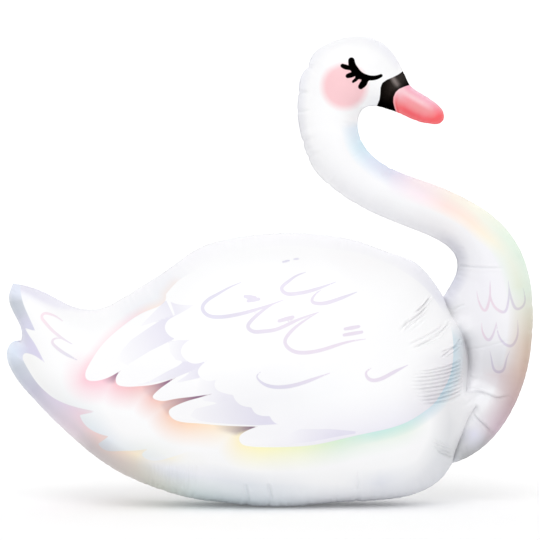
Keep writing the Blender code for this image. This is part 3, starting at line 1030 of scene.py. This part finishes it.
def ribs():
    """Creases in a row beside the upper weld, and the finer ones over the keel."""
    rng = np.random.default_rng(PUCKER_SEED)
    places = np.linspace(0, 1, RIB_COUNT)
    right = np.linspace(*RIBS_RIGHT, RIB_COUNT)
    left = smooth(RIBS_LEFT, 0.5)
    left = left[np.round(places * (len(left) - 1)).astype(int)]
    found = []
    for start, end in zip(right, left):
        bend = start + 0.5 * (end - start) + (0, RIBS_SAG)
        near_start = start + 0.18 * (end - start) + (0, 0.7 * RIBS_SAG)
        depth = RIB_DEPTH * rng.uniform(*RIB_DEPTH_SPREAD)
        found.append(([tuple(start), tuple(near_start), tuple(bend), tuple(end)], depth, RIB_HALF_WIDTH))
    for top in np.linspace(*KEEL_FOLDS, KEEL_FOLD_COUNT):
        low = top + (rng.uniform(-1, 1), KEEL_FOLD_LENGTH * rng.uniform(0.8, 1.1))
        high = top - (0, rng.uniform(0, 6))
        path = [tuple(low), tuple((low + high) / 2), tuple(high)]
        found.append((path, KEEL_FOLD_DEPTH, KEEL_FOLD_HALF_WIDTH))
    return found


def detail_points(coarse, spacing):
    """Points beside printed lines and creases, moved from where they are seen to the flat film."""
    paths = [smooth(pixels, 1.0) for pixels in WING_LINES + TAIL_LINES + BREAST_LINES]
    paths += [smooth(stretch, 1.0) for stretch in WING[1:]]
    for pixels, _, _ in CREASES + ribs():
        paths.append(smooth(pixels, 1.0) if len(pixels) > 2 else np.linspace(*pixels, 12))
    rows = []
    for pixels in paths:
        path = from_photo(pixels)
        left = normals_of(path, False)
        rows += [path + left * offset * spacing for offset in (-2, -1, 0, 1, 2)]
    seen = np.concatenate(rows)
    cells = np.unique(np.round(seen / spacing).astype(int), axis=0, return_index=True)[1]
    seen = seen[np.sort(cells)]
    index = nearest(seen, search_tree(as_seen(coarse)))[0]
    bulge = np.abs(coarse[index, 1]) * MM
    centre = from_photo(CENTRE)
    return centre + (seen - centre) * ((CAMERA_DISTANCE - bulge) / CAMERA_DISTANCE)[:, None]


def crease(seen, pixels, depth, width):
    """A furrow with a low lip on each side. It fades towards its last point."""
    path = from_photo(smooth(pixels, EDGE_STEP))
    height = np.zeros(len(seen))
    near = box_around(seen, path, 5 * width)
    distance, share = to_path(seen[near], path)
    across = distance / width
    profile = CREASE_LIP * np.exp(-((across - CREASE_LIP_PLACE) ** 2)) - np.exp(-(across**2))
    height[near] = depth * profile * np.interp(share, CREASE_SHARES, CREASE_STRENGTHS)
    return height


def rim_puckers(seam, index, distance):
    """Furrows across the outer weld: how high the film lies, and how far the edge is drawn in."""
    rng = np.random.default_rng(PUCKER_SEED)
    outline = seam.outline
    step = np.linalg.norm(outline[1] - outline[0])
    around = len(outline) * step
    place = np.where(index < len(outline), index * step, np.nan)
    height = np.zeros(len(index))
    nick = np.zeros(len(index))

    def pucker(at, depth, width, length, slant):
        beside = (place - at + around / 2) % around - around / 2 - slant * distance
        near = (np.abs(beside) < 6 * width) & (distance < 2.2 * length)
        away = distance[near]
        across = beside[near] / (width * (1 + away / length))
        rise = np.clip((away - WELD_MARGIN_MM) / 4, 0, 1)
        profile = np.exp(-(across**2)) - PUCKER_LIP * np.exp(-((np.abs(across) - PUCKER_LIP_PLACE) ** 2))
        height[near] -= depth * profile * rise * np.exp(-((away / length) ** 2))
        drawn_in = np.exp(-((across / 1.3) ** 2)) * np.exp(-((away / NICK_REACH_MM) ** 2))
        nick[near] += PUCKER_NICK * depth * drawn_in

    at = 0.0
    while at < around:
        here = outline[min(int(at / step), len(outline) - 1)]
        force = 1.0
        for x, y, radius, more in PUCKER_PLACES:
            away = np.linalg.norm(here - from_photo((x, y))) / PIXEL_MM / radius
            force += more * math.exp(-(away**2))
        depth = rng.uniform(*PUCKER_DEPTH) * force**0.5
        width = rng.uniform(*PUCKER_HALF_WIDTH)
        length = rng.uniform(*PUCKER_LENGTH) * force**0.5
        pucker(at, depth, width, length, rng.uniform(*PUCKER_SLANT))
        at += rng.uniform(*PUCKER_GAP) / force
    for x, y, depth, width, length in RIM_NICKS:
        gaps = np.linalg.norm(outline - from_photo((x, y)), axis=1)
        pucker(np.argmin(gaps) * step, depth, width, length, 0.0)
    return height, nick


def waves(points, seed, lengths, count):
    """An uneven sum of waves about 1 high, for gentle lumps."""
    rng = np.random.default_rng(seed)
    total = np.zeros(len(points))
    for _ in range(count):
        turn = rng.uniform(0, 2 * math.pi)
        number = 2 * math.pi / rng.uniform(*lengths)
        along = points @ (math.cos(turn), math.sin(turn))
        total += np.sin(number * along + rng.uniform(0, 2 * math.pi))
    return total / math.sqrt(count)


def relief(film, seen):
    """Move the blown-up film along its normals, and its welded edge in and out of its plane."""
    places, triangles, index, distance, seam = film
    height, nick = rim_puckers(seam, index, distance)
    for pixels, depth, width in CREASES + ribs():
        height += crease(seen, pixels, depth, width)
    calm = np.clip((distance - LUMPS_START_MM) / LUMPS_GROW_MM, 0, 1)
    height += LUMP_MM * calm * waves(seen, *LUMPS)
    height *= np.clip((distance - WELD_MARGIN_MM) / RELIEF_GROWS_MM, 0, 1)
    moved = places + surface_normals(places, triangles) * height[:, None]
    inward = np.where(index < len(seam.outline), 1.0, 0.0) * nick
    toward = normals_of(seam.outline, True)[np.minimum(index, len(seam.outline) - 1)]
    moved[:, [0, 2]] += toward * inward[:, None]
    moved[:, 1] = np.minimum(moved[:, 1], -SHEETS_APART_MM * (distance > ON_OUTLINE_MM))
    wave = WELD_WAVE_MM * waves(places[:, [0, 2]], *WELD_WAVES)
    return moved, wave * np.exp(-((distance / WELD_WAVE_REACH_MM) ** 2))


def blown_up(along, inside, fine, details=None):
    """The near sheet between the welded edge and the camera, its print side outwards."""
    seam, points, triangles, index, distance = flat_film(along, inside, fine, details)
    half = half_thickness(points, triangles, distance, index, seam)
    places = np.column_stack([points[:, 0], -half, points[:, 1]])
    normals = surface_normals(places, triangles)
    if normals[:, 1].sum() > 0:
        triangles = triangles[:, ::-1]
    return places, triangles, index, distance, seam


def placed(places):
    """Drawn millimetres to metres, pressed up where they would sink into the ground."""
    b = places[:, 2]
    lifted = 0.5 * (b + np.sqrt(b**2 + GROUND_SOFTNESS_MM**2))
    return np.column_stack([(places[:, 0] - DRAWN_LENGTH / 2) * MM, places[:, 1] * MM, lifted * MM])


def add_print(mesh, layers):
    """Store colours and other values as attributes, which the material reads by name."""
    for name, values in layers.items():
        if values.ndim == 2:
            attribute = mesh.attributes.new(name, "FLOAT_COLOR", "POINT")
            opaque = np.column_stack([values, np.ones(len(values))])
            attribute.data.foreach_set("color", opaque.astype(np.float32).ravel())
        else:
            attribute = mesh.attributes.new(name, "FLOAT", "POINT")
            attribute.data.foreach_set("value", values.astype(np.float32))


def put(name, data):
    """A new object in the scene."""
    added = bpy.data.objects.new(name, data)
    bpy.context.scene.collection.objects.link(added)
    return added


def add_sheet(name, places, triangles, layers, material):
    mesh = bpy.data.meshes.new(name)
    mesh.from_pydata(placed(places), [], triangles)
    mesh.shade_smooth()
    add_print(mesh, layers)
    mesh.materials.append(material)
    sheet = put(name, mesh)
    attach(sheet, "root")
    return sheet


def linear(colour):
    """A colour from 0 to 255 as the light it reflects, from 0 to 1."""
    share = np.array(colour, float) / 255
    return np.where(share <= 0.04045, share / 12.92, ((share + 0.055) / 1.055) ** 2.4)


def even_field(count, colour, reflectance=FILM_REFLECTANCE):
    return np.tile(linear(colour) * reflectance, (count, 1))


def lay_wash(field, seen, stops, reach, fade, distance, reflectance):
    """Blend a wash into a colour field. It is strongest at its path, or where a given distance is 0."""
    corners = from_photo([stop[:2] for stop in stops])
    path = smooth(corners, WASH_STEP)
    away, share = to_path(seen, path)
    places = to_path(corners, path)[1]
    colours = np.array([linear(stop[2]) * reflectance for stop in stops])
    strengths = np.array([stop[3] if len(stop) > 3 else 1.0 for stop in stops])
    colour = np.column_stack([np.interp(share, places, colours[:, channel]) for channel in range(3)])
    amount = np.interp(share, places, strengths)
    near = np.clip(1 - (away if distance is None else distance) / (reach * PIXEL_MM), 0, 1)
    amount *= near**fade
    if distance is not None:
        amount *= np.clip(2.5 - away / (reach * PIXEL_MM), 0, 1)
    field += (colour - field) * amount[:, None]


def lay_washes(field, seen, washes, distance=None, reflectance=FILM_REFLECTANCE):
    for stops, reach, fade in washes:
        lay_wash(field, seen, stops, reach, fade, distance, reflectance)


def shape_depth(seen, edge, reach=EDGE_REACH_MM):
    """How deep inside a closed shape each point is, below 0 outside it."""
    depth = np.full(len(seen), -reach)
    near = box_around(seen, edge, reach)
    distance = to_path(seen[near], edge, closed=True)[0]
    inside = crossings_inside(seen[near], edge)
    depth[near] = np.maximum(np.where(inside, distance, -distance), -reach)
    return depth


def line_depth(seen, pixels, widths, reach=EDGE_REACH_MM):
    """How deep inside a brush line each point is, for widths in pixels along it."""
    path = from_photo(smooth(pixels, LINE_STEP))
    depth = np.full(len(seen), -reach)
    near = box_around(seen, path, reach)
    distance, share = to_path(seen[near], path)
    half = np.interp(share, np.linspace(0, 1, len(widths)), widths) * PIXEL_MM / 2
    depth[near] = np.maximum(half - distance, -reach)
    return depth


def fading(seen, strong, faded):
    """From 1 at the strong place to 0 at the faded one."""
    start, end = from_photo([strong, faded])
    along = (seen - start) @ (end - start) / np.sum((end - start) ** 2)
    return 1 - np.clip(along, 0, 1)


def printed(seen):
    """What is printed at each seen place, with painted shade and highlights laid into its colours: colours,
    tints and how deep it is inside each shape.
    """
    count = len(seen)
    wing = shape_depth(seen, from_photo(ring(WING, EDGE_STEP)), WING_REACH_MM)
    panel = shape_depth(seen, from_photo(ring(PANEL, EDGE_STEP)), PANEL_REACH_MM)
    body = even_field(count, WHITE)
    # The body's print, with painted shade along its rims, in the neck's corner and over the neck and breast
    lay_washes(body, seen, BODY_WASHES)
    strip = body.copy()
    lay_washes(body, seen, PANEL_WASHES)
    # The strip's print, with painted shade and a painted highlight on the tail's lobes
    lay_washes(strip, seen, STRIP_WASHES)
    feathers = even_field(count, WHITE)
    # The feathers' washes, painted shade over the wing's lower part among them
    lay_washes(feathers, seen, FEATHER_WASHES)
    for field in (body, strip):
        # Painted shade over the lower body, the lower right and beside the upper weld, with the keel strip's
        # colours
        lay_washes(field, seen, LOW_WASHES)
        lay_washes(field, seen, WING_GLOWS, np.maximum(-wing, 0))
    for corners, strong, faded, colour in CUSP_SHADES:
        depth = shape_depth(seen, from_photo(corners), CUSP_SOFT_MM + CUSP_FULL_MM)
        amount = np.clip((depth + CUSP_SOFT_MM) / (CUSP_SOFT_MM + CUSP_FULL_MM), 0, 1)
        amount *= fading(seen, strong, faded) ** CUSP_FADE
        body += (linear(colour) * FILM_REFLECTANCE - body) * amount[:, None]
    shades = [shape_depth(seen, from_photo(shade[0])) for shade in FEATHER_SHADES]
    strengths = [shade[2] * fading(seen, shade[1], shade[3]) for shade in FEATHER_SHADES]
    top = np.argmax(shades, axis=0)
    lines = [line_depth(seen, pixels, WING_LINE_WIDTHS) for pixels in WING_LINES]
    lines += [line_depth(seen, pixels, TAIL_LINE_WIDTHS) for pixels in TAIL_LINES]
    lines += [line_depth(seen, pixels, BREAST_LINE_WIDTHS) for pixels in BREAST_LINES]
    lines += [line_depth(seen, pixels, [DOT_ENDS * width, width, DOT_ENDS * width]) for pixels, width in DOTS]
    ink = [line_depth(seen, pixels, widths) for pixels, widths in LASHES]
    ink.append(shape_depth(seen, from_photo(MASK)))
    tint = even_field(count, LINE_TINT, 1.0)
    lay_washes(tint, seen, TINT_WASHES, None, 1.0)
    # Black ink, with a painted sheen and highlight on the mask
    ink_with_painted_sheen = even_field(count, BLACK_INK)
    lay_washes(ink_with_painted_sheen, seen, MASK_PAINTED_LIGHT_WASHES)
    # The bill's print, with painted highlights along it and along its edge
    bill = even_field(count, BILL_CORAL)
    lay_washes(bill, seen, BILL_PRINT_AND_PAINTED_HIGHLIGHTS)
    cheek = np.linalg.norm(seen - from_photo(BLUSH_CENTRE), axis=1) / PIXEL_MM
    return {
        "body": body,
        "strip": strip,
        "feathers": feathers,
        "ink_colour_with_painted_sheen": ink_with_painted_sheen,
        "bill_colour_with_painted_highlights": bill,
        "wing": wing,
        "panel": panel,
        "under_coverts": -shape_depth(seen, from_photo(ring(COVERTS, EDGE_STEP))),
        "shade": np.max(shades, axis=0),
        "shade_strength": np.choose(top, strengths),
        "line": np.max(lines, axis=0),
        "line_tint": tint,
        "ink": np.max(ink, axis=0),
        "bill": shape_depth(seen, from_photo(BILL)),
        "blush": np.clip((BLUSH_RADIUS + BLUSH_EDGE - cheek) / (2 * BLUSH_EDGE), 0, 1),
    }


class Nodes:
    """Short ways to add nodes to one material."""

    def __init__(self, material):
        self.tree = material.node_tree

    def add(self, kind, **values):
        node = self.tree.nodes.new(kind)
        for name, value in values.items():
            setattr(node, name, value)
        return node

    def link(self, source, target):
        self.tree.links.new(source, target)

    def read(self, name, colour=False):
        node = self.add("ShaderNodeAttribute", attribute_name=name)
        return node.outputs["Color" if colour else "Fac"]

    def step(self, name):
        """0 outside a printed shape, 1 inside it, with a narrow edge between."""
        node = self.add("ShaderNodeMapRange", clamp=True)
        node.inputs["From Min"].default_value = -PRINT_EDGE_MM
        node.inputs["From Max"].default_value = PRINT_EDGE_MM
        self.link(self.read(name), node.inputs["Value"])
        return node.outputs["Result"]

    def times(self, first, second):
        node = self.add("ShaderNodeMath", operation="MULTIPLY")
        self.link(first, node.inputs[0])
        self.link(second, node.inputs[1])
        return node.outputs[0]

    def layer(self, below, above, amount, blend="MIX"):
        """Lay a colour, or a socket's colour, over another one."""
        node = self.add("ShaderNodeMix", data_type="RGBA", blend_type=blend)
        self.link(amount, node.inputs[0])
        self.link(below, node.inputs[6])
        if isinstance(above, tuple):
            node.inputs[7].default_value = (*above, 1)
        else:
            self.link(above, node.inputs[7])
        return node.outputs[2]


def ink_of(colour, reflectance=FILM_REFLECTANCE):
    return tuple(float(value) for value in linear(colour) * reflectance)


def film_material():
    material = bpy.data.materials.new("printed_film")
    material.use_nodes = True
    nodes = Nodes(material)
    shader = material.node_tree.nodes["Principled BSDF"]
    shader.inputs["Roughness"].default_value = FILM_ROUGHNESS
    # The body, strip and feather colours carry painted shade, the ink and bill colours painted highlights
    colour = nodes.layer(nodes.read("strip", True), nodes.read("body", True), nodes.step("panel"))
    colour = nodes.layer(colour, nodes.read("feathers", True), nodes.step("wing"))
    shade = nodes.times(nodes.step("shade"), nodes.read("shade_strength"))
    shade = nodes.times(shade, nodes.step("under_coverts"))
    colour = nodes.layer(colour, ink_of(FEATHER_SHADE, 1.0), shade, "MULTIPLY")
    colour = nodes.layer(colour, nodes.read("line_tint", True), nodes.step("line"), "MULTIPLY")
    colour = nodes.layer(colour, ink_of(BLUSH), nodes.read("blush"))
    colour = nodes.layer(colour, nodes.read("ink_colour_with_painted_sheen", True), nodes.step("ink"))
    colour = nodes.layer(colour, nodes.read("bill_colour_with_painted_highlights", True), nodes.step("bill"))
    nodes.link(colour, shader.inputs["Base Color"])
    place = nodes.add("ShaderNodeTexCoord").outputs["Object"]
    ripples = nodes.add("ShaderNodeTexNoise")
    ripples.inputs["Scale"].default_value = RIPPLE_SCALE
    ripples.inputs["Detail"].default_value = RIPPLE_DETAIL
    nodes.link(place, ripples.inputs["Vector"])
    bump = nodes.add("ShaderNodeBump")
    bump.inputs["Strength"].default_value = RIPPLE_STRENGTH
    bump.inputs["Distance"].default_value = RIPPLE_HEIGHT
    nodes.link(ripples.outputs["Fac"], bump.inputs["Height"])
    nodes.link(bump.outputs["Normal"], shader.inputs["Normal"])
    gloss = nodes.add("ShaderNodeMapRange")
    gloss.inputs["To Min"].default_value = FILM_SPECULAR
    gloss.inputs["To Max"].default_value = INK_SPECULAR
    nodes.link(nodes.step("ink"), gloss.inputs["Value"])
    nodes.link(gloss.outputs["Result"], shader.inputs["Specular IOR Level"])
    return material


def lit_material(name, colour, glow):
    """A dull surface with a little light of its own, as of a lit table."""
    material = bpy.data.materials.new(name)
    material.use_nodes = True
    shader = material.node_tree.nodes["Principled BSDF"]
    shader.inputs["Base Color"].default_value = (*colour, 1)
    shader.inputs["Roughness"].default_value = BACKDROP_ROUGHNESS
    shader.inputs["Emission Color"].default_value = (1, 1, 1, 1)
    shader.inputs["Emission Strength"].default_value = glow
    return material


def backdrop():
    """A floor that curves up into a wall behind the swan."""
    turn = np.radians(np.linspace(0, 90, BACKDROP_BEND_STEPS))
    depth = [BACKDROP_FRONT] + list(BACKDROP_BEND_START + BACKDROP_BEND_RADIUS * np.sin(turn))
    height = [0.0] + list(BACKDROP_BEND_RADIUS * (1 - np.cos(turn)))
    depth.append(depth[-1])
    height.append(BACKDROP_HEIGHT)
    corners = []
    for y, z in zip(depth, height):
        corners += [(-BACKDROP_HALF_WIDTH, y, z), (BACKDROP_HALF_WIDTH, y, z)]
    faces = [(2 * i, 2 * i + 1, 2 * i + 3, 2 * i + 2) for i in range(len(depth) - 1)]
    mesh = bpy.data.meshes.new("backdrop")
    mesh.from_pydata(corners, [], faces)
    mesh.update()
    mesh.shade_smooth()
    mesh.materials.append(lit_material("pale_backdrop", BACKDROP_COLOUR, BACKDROP_GLOW))
    sweep = put("backdrop", mesh)


def sun(name, direction, strength, spread):
    light = bpy.data.lights.new(name, "SUN")
    light.energy = strength
    light.angle = math.radians(spread)
    lamp = put(name, light)
    lamp.rotation_euler = Vector(direction).to_track_quat("-Z", "Y").to_euler()


def studio():
    backdrop()
    world = bpy.data.worlds.new("studio")
    world.use_nodes = True
    background = world.node_tree.nodes["Background"]
    background.inputs["Color"].default_value = (1, 1, 1, 1)
    background.inputs["Strength"].default_value = SKY_STRENGTH
    bpy.context.scene.world = world
    for name, direction, strength, spread in SUNS:
        sun(name, direction, strength, spread)


def camera():
    centre = from_photo(CENTRE)
    data = bpy.data.cameras.new("photo_camera")
    view_width = FRAME_PIXELS * PIXEL_MM * MM
    data.sensor_width = SENSOR_MM
    data.lens = SENSOR_MM * CAMERA_DISTANCE / view_width
    holder = put("photo_camera", data)
    holder.location = ((centre[0] - DRAWN_LENGTH / 2) * MM, -CAMERA_DISTANCE, centre[1] * MM)
    holder.rotation_euler = (math.radians(90), 0, 0)
    bpy.context.scene.camera = holder


camera()
studio()
film = film_material()
coarse = blown_up(COARSE_MM, COARSE_MM, COARSE_MM)[0]
film_shape = blown_up(ALONG_WELD_MM, INSIDE_MM, FINE_MM, detail_points(coarse, BESIDE_LINES_MM))
triangles = film_shape[1]
seen = as_seen(film_shape[0])
near_places, wave = relief(film_shape, seen)
layers = printed(seen + PRINT_ON_CREASES * (as_seen(near_places) - seen))
far_places = near_places * (1, -1, 1)
near_places[:, 1] += wave
far_places[:, 1] += wave
near = add_sheet("near_film_sheet", near_places, triangles, layers, film)
far = add_sheet("far_film_sheet", far_places, triangles[:, ::-1], layers, film)
for sheet in (near, far):
    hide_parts(NODE)
bpy.context.scene.view_settings.view_transform = "Standard"
